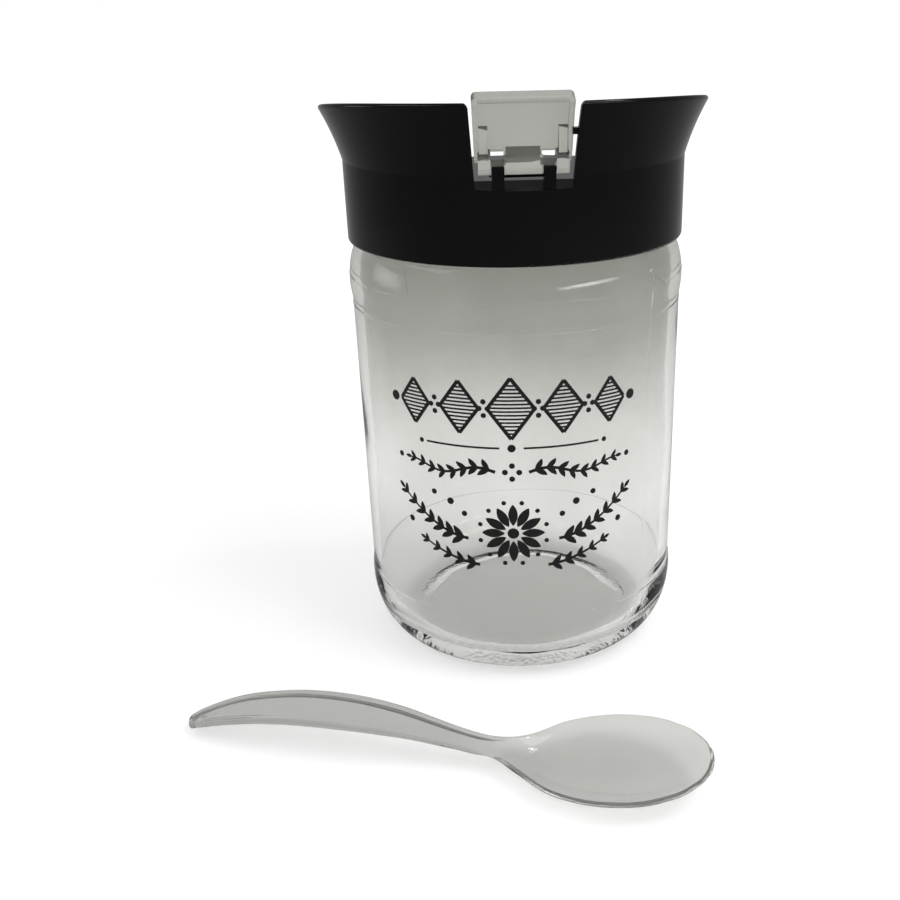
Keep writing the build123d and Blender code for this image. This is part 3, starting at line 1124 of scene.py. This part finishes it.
@dataclass
class ScrewLid:
    """Black lid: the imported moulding, with the lugs inside its skirt."""

    bore_radius: float = 45.12
    lug_radius: float = 43.35
    lug_height: float = 127.35
    lug_half_height: float = 0.75
    lug_span: float = 9.0
    lug_start: float = 30.0

    def lugs(self, starts: int) -> Piece:
        """Short lugs on the skirt's inside, one under each ridge of the neck.

        A rounded section, cos to the power 0.6 of its turn, is carried along a short arc and sinks into the
        wall at both ends.

        Args:
            starts: How many lugs there are.

        Returns:
            The new piece.
        """
        t = np.linspace(0.0, 1.0, 16)
        fade = np.sin(np.pi * np.clip(t, 0.01, 0.99))[:, None] ** 0.35
        turn = np.linspace(np.pi / 2, -np.pi / 2, 9)
        bulge = np.clip(np.cos(turn), 0, 1) ** 0.6
        radius = self.bore_radius - (self.bore_radius - self.lug_radius) * fade * bulge
        height = np.broadcast_to(self.lug_height + self.lug_half_height * np.sin(turn)[None, :], radius.shape)
        strips = []
        for k in range(starts):
            angle = np.radians(self.lug_start + k * 360 / starts + self.lug_span * t)[:, None]
            strips.append(np.stack([radius * np.sin(angle), -radius * np.cos(angle), height], axis=-1))
        return add_strips("lid_lugs", strips)


@dataclass
class PourFlap:
    """Clear flap in its front notch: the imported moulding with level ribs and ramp, and rounded edges.

    Its own frame has the hinge line as origin, Y along the closed flap and Z up.
    """

    hinge: Pair = (-43.7, 145.3)
    open_angle: float = 108.0
    length: float = 16.4
    end_margin: float = 0.3
    rib_from: float = 8.2
    rib_knee: Pair = (2.4, 1.0)
    knee_near: float = 0.2
    rib_level: float = -0.75
    ramp_half: float = 4.25
    ramp_ends: Pair = (2.45, 6.0)
    plate_top: float = -2.25
    above_plate: float = 0.03
    ramp_stations: tuple[Pair, ...] = (
        (2.33, -0.29), (2.61, -0.75), (2.92, -1.4), (3.25, -1.97), (3.6, -2.15), (3.98, -2.2), (4.36, -2.21),
        (5.6, -2.22), (6.03, -2.25))
    edge_round: float = 0.22
    steps: int = 3
    merge_within: float = 0.002
    flat_within: float = 0.6
    sharp_from: float = 32.0
    crease_from: float = 12.0

    def end_plane(self) -> tuple[Triple, float]:
        """Plane just before the end face of the opened flap.

        Returns:
            The direction along the flap, and the plane's distance along it from the origin.
        """
        angle = math.radians(self.open_angle)
        way = (0.0, math.cos(angle), math.sin(angle))
        return way, self.hinge[0] * way[1] + self.hinge[1] * way[2] + self.length - self.end_margin

    def turn(self, points: np.ndarray, back: bool) -> np.ndarray:
        """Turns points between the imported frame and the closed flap's own, about the hinge line.

        Args:
            points: Array (n, 3) in millimetres.
            back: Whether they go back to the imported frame.

        Returns:
            The turned points: y' = y cos a - z sin a, z' = y sin a + z cos a.
        """
        angle = math.radians(self.open_angle if back else -self.open_angle)
        c, s = math.cos(angle), math.sin(angle)
        shift = np.array([0.0, *self.hinge])
        x, y, z = (points if back else points - shift).T
        turned = np.stack([x, y * c - z * s, y * s + z * c], axis=1)
        return turned + shift if back else turned

    def level(self, points: np.ndarray) -> np.ndarray:
        """Levels the ribs and the ramp, in the closed flap's own frame.

        The knee of each rib goes down to the rib's level. A point of the ramp's curve keeps its place along
        the flap and takes its height from the ramp's stations.

        Args:
            points: Array (n, 3) in millimetres.

        Returns:
            The moved points.
        """
        x, y, z = points.T
        from_knee = np.hypot(y - self.rib_knee[0], z - self.rib_knee[1])
        knee = (np.abs(x) > self.rib_from) & (from_knee < self.knee_near)
        ramp = ((np.abs(x) < self.ramp_half) & (y > self.ramp_ends[0]) & (y < self.ramp_ends[1])
                & (z > self.plate_top + self.above_plate))
        LOG.info("flap: %d knee points, %d ramp points", int(knee.sum()), int(ramp.sum()))
        z = np.where(knee, self.rib_level, z)
        z = np.where(ramp, through(self.ramp_stations, y), z)
        return np.stack([x, y, z], axis=1)

    def rounded(self, packed: Piece) -> Piece:
        """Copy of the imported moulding, levelled, with its edges rounded.

        Loose triangles are merged and flat areas joined to single faces; then every edge whose faces meet at
        more than the given angle gets a narrow round strip, and normals follow the flat faces.

        Args:
            packed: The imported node.

        Returns:
            The new piece.
        """
        mesh = packed.data.copy()
        mesh.name = "flap_body"
        shape = bmesh.new()
        shape.from_mesh(mesh)
        bmesh.ops.remove_doubles(shape, verts=shape.verts, dist=self.merge_within * MM)
        bmesh.ops.dissolve_limit(shape, angle_limit=math.radians(self.flat_within), verts=shape.verts,
                                 edges=shape.edges)
        shape.to_mesh(mesh)
        shape.free()
        points = np.empty(len(mesh.vertices) * 3, np.float32)
        mesh.vertices.foreach_get("co", points)
        local = self.turn(points.reshape(-1, 3).astype(float) / MM, back=False)
        moved = self.turn(self.level(local), back=True) * MM
        mesh.vertices.foreach_set("co", moved.astype(np.float32).ravel())
        mesh.update()
        mesh.polygons.foreach_set("use_smooth", np.ones(len(mesh.polygons), bool))
        mesh.set_sharp_from_angle(angle=math.radians(self.crease_from))
        piece = bpy.data.objects.new("flap_body", mesh)
        bpy.context.scene.collection.objects.link(piece)
        bevel = piece.modifiers.new("round_edges", "BEVEL")
        bevel.width = self.edge_round * MM
        bevel.segments = self.steps
        bevel.limit_method = "ANGLE"
        bevel.angle_limit = math.radians(self.sharp_from)
        bevel.harden_normals = True
        return piece


# Spoon


@dataclass
class ServingSpoon:
    """Clear spoon on the table: hollow drop-shaped bowl, arched handle with a channel under it.

    Stations and spans are millimetres along the spoon from the handle's tip. Bands are shares of the half
    width, 0 in the middle and 1 at the outline.
    """

    tip: Pair = (-94.8, -60.1)
    turn: float = -16.2
    length: float = 141.4
    rows: int = 260
    columns: int = 160
    wall: float = 1.45
    edge: float = 0.7
    bowl_edge: float = 1.7
    crown: float = 1.2
    handle_ends: Pair = (80.0, 90.0)
    bowl_begins: Pair = (83.0, 88.0)
    edge_widens: Pair = (88.0, 100.0)
    dish_power: float = 0.9
    flange_band: Pair = (0.72, 0.84)
    flange_depth: Pair = (0.55, 0.007)
    flange_fades: Pair = (55.0, 84.0)
    flange_loss: float = 0.6
    rib: float = 0.24
    rib_band: tuple[float, float, float, float] = (0.78, 0.84, 0.93, 0.97)
    rib_turns: float = 62.0
    grooves: tuple[float, ...] = (0.77, 0.85, 0.93)
    groove_depth: float = 0.24
    groove_width: float = 0.022
    plan: tuple[Pair, ...] = (
        (0.0, 0.0), (1.2, 2.9), (4.0, 4.4), (9.0, 5.6), (25.0, 7.2), (42.0, 7.5), (56.0, 6.6), (69.0, 4.9),
        (80.0, 3.9), (87.0, 4.3), (94.0, 8.3), (101.8, 14.4), (110.7, 17.9), (119.0, 18.75), (130.5, 16.0),
        (137.2, 10.9), (140.2, 6.0), (141.2, 2.6), (141.4, 0.0))
    ridge: tuple[Pair, ...] = (
        (0.0, 2.9), (10.0, 7.3), (27.0, 11.3), (45.0, 12.3), (60.0, 11.1), (75.0, 8.2), (86.0, 6.2),
        (94.0, 5.3), (101.8, 5.95), (110.0, 6.7), (119.0, 7.55), (130.0, 8.6), (141.4, 9.7))
    depth: tuple[Pair, ...] = (
        (84.0, 0.0), (88.0, 0.5), (93.0, 2.6), (99.0, 4.5), (108.0, 5.25), (119.0, 5.4), (130.0, 4.7),
        (137.0, 3.0), (140.5, 1.2), (141.4, 0.2))

    def middle(self, s: np.ndarray, t: np.ndarray, width: np.ndarray, handle: np.ndarray) -> np.ndarray:
        """Middle surface between top and underside.

        It lies at the ridge height, dished in the bowl by depth times (1 - t^2) to the dish power, and in
        the handle lowered at its sides by crown times t^4.

        Args:
            s: Positions along the spoon.
            t: Positions across it, from -1 to 1.
            width: Half width at every s.
            handle: One in the handle, zero in the bowl.

        Returns:
            Array (rows, columns, 3).
        """
        dish = through(self.depth, s) * smooth_step(*self.bowl_begins, s)
        hollow = dish * np.clip(1 - t**2, 0, 1) ** self.dish_power
        z = through(self.ridge, s) - hollow - self.crown * handle * np.abs(t) ** 4
        return np.stack([s + 0 * t, width * t, z], axis=-1)

    def under_depth(self, s: np.ndarray, side: np.ndarray, handle: np.ndarray) -> np.ndarray:
        """How far the underside lies below the middle: half a wall, two flanges and fine sine ribs on them.

        Args:
            s: Positions along the spoon.
            side: Distance from the middle as a share of the half width.
            handle: One in the handle, zero in the bowl.

        Returns:
            The depth at every point.
        """
        at_root, growth = self.flange_depth
        flange = handle * smooth_step(*self.flange_band, side) * (at_root + growth * s) * (
            1 - self.flange_loss * smooth_step(*self.flange_fades, s))
        band = smooth_step(*self.rib_band[:2], side) * (1 - smooth_step(*self.rib_band[2:], side))
        return self.wall / 2 + flange + handle * self.rib * band * np.sin(side * self.rib_turns)

    def body(self) -> Piece:
        """The spoon as one closed surface, top and underside joined round a rounded edge.

        Along the spoon the position follows a cosine, so that both tips are finely divided. Top and
        underside lie above and below the middle surface, along its normal, and the wall fades to nothing at
        the outline as a half circle. Fine bell-shaped grooves follow both sides of the handle's top.

        Returns:
            The new piece.
        """
        s = (self.length * (1 - np.cos(np.linspace(0.012, np.pi - 0.012, self.rows))) / 2)[:, None]
        t = np.sin(np.linspace(-np.pi / 2, np.pi / 2, self.columns))[None, :]
        side = np.abs(t)
        width = np.maximum(through(self.plan, s), 0.05)
        handle = 1 - smooth_step(*self.handle_ends, s)
        mid = self.middle(s, t, width, handle)
        normal = np.cross(np.gradient(mid, axis=0), np.gradient(mid, axis=1))
        normal /= np.linalg.norm(normal, axis=-1, keepdims=True) + 1e-12
        edge = self.edge + self.bowl_edge * smooth_step(*self.edge_widens, s)
        fade = np.sqrt(np.clip(1 - (1 - np.clip(width * (1 - side) / edge, 0, 1)) ** 2, 0, 1))
        lines = sum(np.exp(-((side - place) / self.groove_width) ** 2) for place in self.grooves)
        top = mid + normal * ((self.wall / 2 - self.groove_depth * handle * lines) * fade)[..., None]
        under = mid - normal * (self.under_depth(s, side, handle) * fade)[..., None]
        loop = np.concatenate([top, under[:, -2:0:-1]], axis=1)
        loop[..., 2] -= loop[..., 2].min()
        ends = np.stack([loop[0].mean(axis=0), loop[-1].mean(axis=0)])
        c, s = math.cos(math.radians(self.turn)), math.sin(math.radians(self.turn))
        spin = np.array([[c, s, 0], [-s, c, 0], [0, 0, 1]])
        points = np.concatenate([loop.reshape(-1, 3), ends]) @ spin + np.array([*self.tip, 0.0])
        return add_object("spoon_body", points, poled_faces(*loop.shape[:2]))


# Studio


@dataclass(frozen=True)
class Lamp:
    """Rectangular lamp: where it stands and points, its two sides, its power in watts, and its edge."""

    name: str
    place: Triple
    target: Triple
    size: Pair
    power: float
    soft: bool = False

    def fade_edges(self, data: bpy.types.Light) -> None:
        """Lets the lamp fade out towards its edges: strength 16 u (1 - u) v (1 - v) over its own square.

        Args:
            data: The lamp's data.
        """
        data.use_nodes = True
        nodes = Nodes(data.node_tree)
        split = nodes.tree.nodes.new("ShaderNodeSeparateXYZ")
        square = nodes.tree.nodes.new("ShaderNodeNewGeometry").outputs["Parametric"]
        nodes.join(square, split.inputs["Vector"])
        u, v = split.outputs["X"], split.outputs["Y"]
        arches = [nodes.maths("MULTIPLY", way, nodes.maths("SUBTRACT", 1.0, way)) for way in (u, v)]
        strength = nodes.maths("MULTIPLY", nodes.maths("MULTIPLY", *arches), 16.0)
        emission = next(node for node in nodes.tree.nodes if node.type == "EMISSION")
        nodes.join(strength, emission.inputs["Strength"])

    def hang(self) -> None:
        """Adds the lamp to the scene."""
        data = bpy.data.lights.new(self.name, "AREA")
        data.shape, data.energy = "RECTANGLE", self.power
        data.size, data.size_y = self.size[0] * MM, self.size[1] * MM
        if self.soft:
            self.fade_edges(data)
        lamp = bpy.data.objects.new(self.name, data)
        way = (Vector(self.target) - Vector(self.place)).to_track_quat("-Z", "Y")
        lamp.matrix_world = Matrix.Translation(Vector(self.place) * MM) @ way.to_matrix().to_4x4()
        bpy.context.scene.collection.objects.link(lamp)


@dataclass
class Studio:
    """Pale floor, soft lamps, plain surroundings and the camera of the photograph."""

    camera_place: Triple = (-17.4, -321.9, 182.8)
    yaw: float = 3.1
    pitch: float = 24.2
    roll: float = 1.09
    lens: float = 44.9
    shift: Pair = (-0.0778, 0.053)
    paper: float = 0.55
    mirrored_paper: float = 0.2
    glow: Pair = (0.42, 0.6)
    glow_span: Pair = (120.0, 600.0)
    mirrored: float = 0.32
    ambient: float = 0.8
    floor_level: float = -0.15
    floor_reach: Pair = (20.0, 60000.0)
    rings: int = 40
    spokes: int = 64
    lamps: tuple[Lamp, ...] = (
        Lamp("key_lamp", (420, -260, 700), (0, 0, 100), (420, 300), 2.6),
        Lamp("left_lamp", (-600, -200, 620), (0, 0, 90), (500, 300), 1.4),
        Lamp("streak_lamp", (523, -509, 243), (16, -44, 116), (640, 70), 3.2, soft=True),
        Lamp("side_lamp", (-723, 100, 180), (-36, -30, 114), (420, 260), 1.6, soft=True),
        Lamp("spot_lamp", (308, 28, 614), (-2, -82, 3), (90, 90), 1.2, soft=True))

    def camera(self) -> None:
        """Camera whose axes are the photograph's viewing direction, turned about it by the roll."""
        yaw, pitch, roll = (math.radians(v) for v in (self.yaw, self.pitch, self.roll))
        ahead = Vector((math.sin(yaw) * math.cos(pitch), math.cos(yaw) * math.cos(pitch), -math.sin(pitch)))
        right = Vector((math.cos(yaw), -math.sin(yaw), 0))
        up = right.cross(ahead)
        right, up = right * math.cos(roll) - up * math.sin(roll), right * math.sin(roll) + up * math.cos(roll)
        data = bpy.data.cameras.new("photo_camera")
        data.sensor_width, data.lens = 36.0, self.lens
        data.shift_x, data.shift_y = self.shift
        data.clip_start, data.clip_end = 0.01, 100.0
        camera = bpy.data.objects.new("photo_camera", data)
        camera.matrix_world = Matrix.Translation(Vector(self.camera_place) * MM) @ Matrix(
            (right, up, -ahead)).transposed().to_4x4()
        bpy.context.scene.collection.objects.link(camera)
        bpy.context.scene.camera = camera

    def seen(self, nodes: Nodes) -> Socket:
        """One for camera rays and rays through clear pieces, less for reflected rays, zero for others.

        Args:
            nodes: The tree that uses it.

        Returns:
            The share.
        """
        direct = nodes.maths("MAXIMUM", nodes.ray("Is Camera Ray"), nodes.ray("Is Transmission Ray"))
        glossy = nodes.maths("MULTIPLY", nodes.ray("Is Glossy Ray"), self.mirrored)
        return nodes.maths("MAXIMUM", direct, glossy)

    def reflected(self, nodes: Nodes) -> Socket:
        """One for reflected rays and zero for all others, rays through clear pieces among them."""
        passed = nodes.maths("SUBTRACT", nodes.ray("Is Glossy Ray"), nodes.ray("Is Transmission Ray"))
        return nodes.maths("MAXIMUM", passed, 0.0)

    def floor(self) -> None:
        """Large pale floor, a disc of rings and spokes, that stays white for the camera and keeps shadows."""
        radius = np.concatenate([[0.001], np.geomspace(*self.floor_reach, self.rings)])[:, None]
        angle = np.linspace(0, 2 * np.pi, self.spokes, endpoint=False)[None, :]
        flat = np.full((self.rings + 1, self.spokes), self.floor_level)
        grid = np.stack([radius * np.cos(angle), radius * np.sin(angle), flat], axis=-1)
        disc = add_object("studio_floor", grid.reshape(-1, 3), [grid_faces(*flat.shape)[:, ::-1]])
        material = bpy.data.materials.new("studio_floor")
        material.use_nodes = True
        nodes = Nodes(material.node_tree)
        add = nodes.tree.nodes
        add.clear()
        paper, glow, both = (add.new(kind) for kind in (
            "ShaderNodeBsdfDiffuse", "ShaderNodeEmission", "ShaderNodeAddShader"))
        tone = nodes.blend(self.reflected(nodes), (self.paper,) * 3, (self.mirrored_paper,) * 3)
        nodes.join(tone, paper.inputs["Color"])
        away = add.new("ShaderNodeVectorMath")
        away.operation = "LENGTH"
        nodes.join(add.new("ShaderNodeTexCoord").outputs["Object"], away.inputs[0])
        near, far = (reach * MM for reach in self.glow_span)
        fade = nodes.spread(away.outputs["Value"], *self.glow, near, far)
        nodes.join(nodes.maths("MULTIPLY", fade, self.seen(nodes)), glow.inputs["Strength"])
        nodes.join(paper.outputs[0], both.inputs[0])
        nodes.join(glow.outputs[0], both.inputs[1])
        nodes.join(both.outputs[0], add.new("ShaderNodeOutputMaterial").inputs["Surface"])
        dress(disc, material)

    def surroundings(self) -> None:
        """World: white behind everything, less in reflections, and a level that lights the object."""
        world = bpy.data.worlds.new("studio")
        world.use_nodes = True
        nodes = Nodes(world.node_tree)
        nodes.tree.nodes.clear()
        background = nodes.tree.nodes.new("ShaderNodeBackground")
        background.inputs["Color"].default_value = (1, 1, 1, 1)
        scattered = nodes.maths("MULTIPLY", nodes.ray("Is Diffuse Ray"), self.ambient)
        nodes.join(nodes.maths("MAXIMUM", self.seen(nodes), scattered), background.inputs["Strength"])
        output = nodes.tree.nodes.new("ShaderNodeOutputWorld")
        nodes.join(background.outputs[0], output.inputs["Surface"])
        bpy.context.scene.world = world

    def build(self) -> None:
        """Sets up camera, lamps, floor, surroundings and the plain view transform."""
        self.camera()
        for lamp in self.lamps:
            lamp.hang()
        self.floor()
        self.surroundings()
        bpy.context.scene.view_settings.view_transform = "Standard"


# Assembly


def report(piece: Piece, body: str) -> None:
    """Logs a piece with its body and its face count."""
    LOG.info("%s on %s: %d faces", piece.name, body, len(piece.data.polygons))


def add_piece(piece: Piece, body: str, material: bpy.types.Material,
              stands_for: Sequence[str] = ()) -> None:
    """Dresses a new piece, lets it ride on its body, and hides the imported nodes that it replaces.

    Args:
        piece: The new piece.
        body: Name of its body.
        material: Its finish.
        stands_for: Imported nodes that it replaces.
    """
    dress(piece, material)
    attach(piece, body)
    if stands_for:
        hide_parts(*stands_for)
    report(piece, body)


def main() -> None:
    """Builds every sub-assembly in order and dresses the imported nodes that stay."""
    nodes = frame["nodes"]
    glass = JarGlass().material()
    black = BlackGloss().material()
    jar = GlassJar()
    add_piece(jar.wall(), "jar", glass, ["glass_jar"])
    add_piece(jar.thread(), "jar", glass)
    add_piece(PrintedOrnament(jar).build(), "jar", ScreenInk().material())
    add_piece(ScrewLid().lugs(jar.thread_starts), "lid", black)
    spoon_finish = ClearPlastic("spoon_clear_plastic", (0.47, 0.47, 0.455), 1.22, far_tint=(0.61, 0.61, 0.59))
    add_piece(ServingSpoon().body(), "spoon", spoon_finish.material(), ["serving_spoon"])
    flap = PourFlap()
    # Painted light: the flap's end is made paler by a less clear finish.
    flap_finish = ClearPlastic("flap_clear_plastic", (0.46, 0.46, 0.425), 1.16, clear=0.8,
                               painted_light_end=flap.end_plane())
    body = flap.rounded(nodes["pour_flap"])
    add_piece(body, "flap", flap_finish.material(), ["pour_flap"])
    for node, material in (("screw_lid", black), ("sealing_ring", SoftSeal().material())):
        dress(nodes[node], material)
        report(nodes[node], "packed body")
    Studio().build()


if __name__ == "__main__":
    main()
